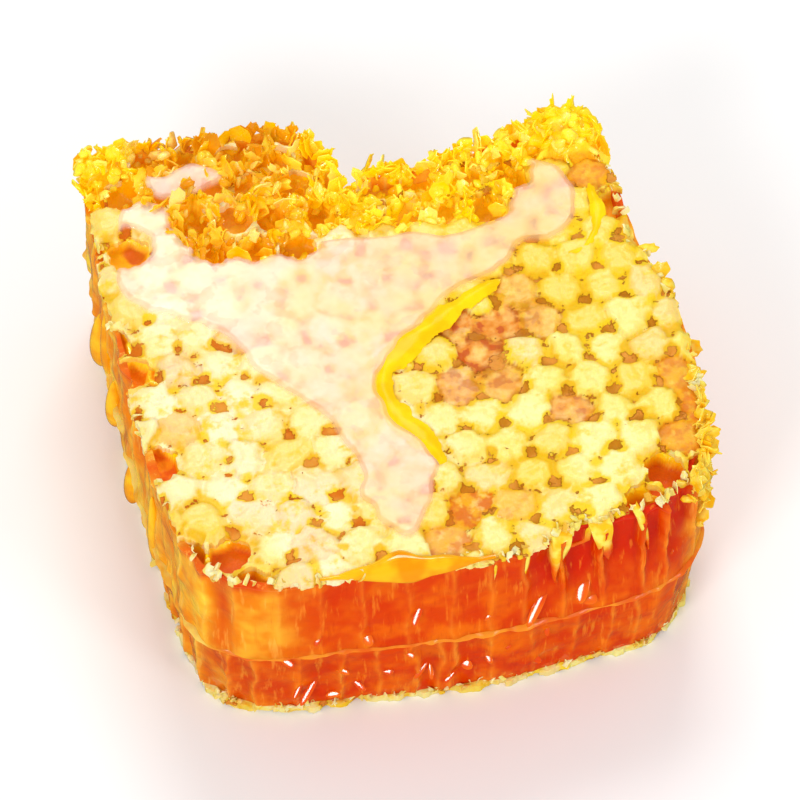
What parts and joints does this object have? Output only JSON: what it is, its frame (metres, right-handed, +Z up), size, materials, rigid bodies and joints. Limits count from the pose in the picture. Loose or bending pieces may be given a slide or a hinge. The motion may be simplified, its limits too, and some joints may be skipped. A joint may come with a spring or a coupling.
{
  "type": "honeycomb piece",
  "caption": "Block of cut comb honey: two layers of honey-filled wax cells on a midrib, under domed wax cappings, with knife-cut sides and a torn back.",
  "frame": {"origin": "middle of the block's outline on the surface it rests on, at the underside of the lower capping", "axes": "+Z up through the layers, +X to the right along the cut front, +Y from the cut front to the torn back"},
  "size_m": [0.0738, 0.0745, 0.0372],
  "materials": {
    "capping_wax": "dry pale yellow beeswax",
    "midrib_wax": "amber beeswax wetted by honey",
    "honey_cells": "wet, glossy, deep orange honey between thin wax walls"
  },
  "bodies": {
    "root": {"capping_upper": "capping_wax", "comb_upper": "honey_cells", "midrib": "midrib_wax", "comb_lower": "honey_cells", "capping_lower": "capping_wax"}
  },
  "joints": []
}
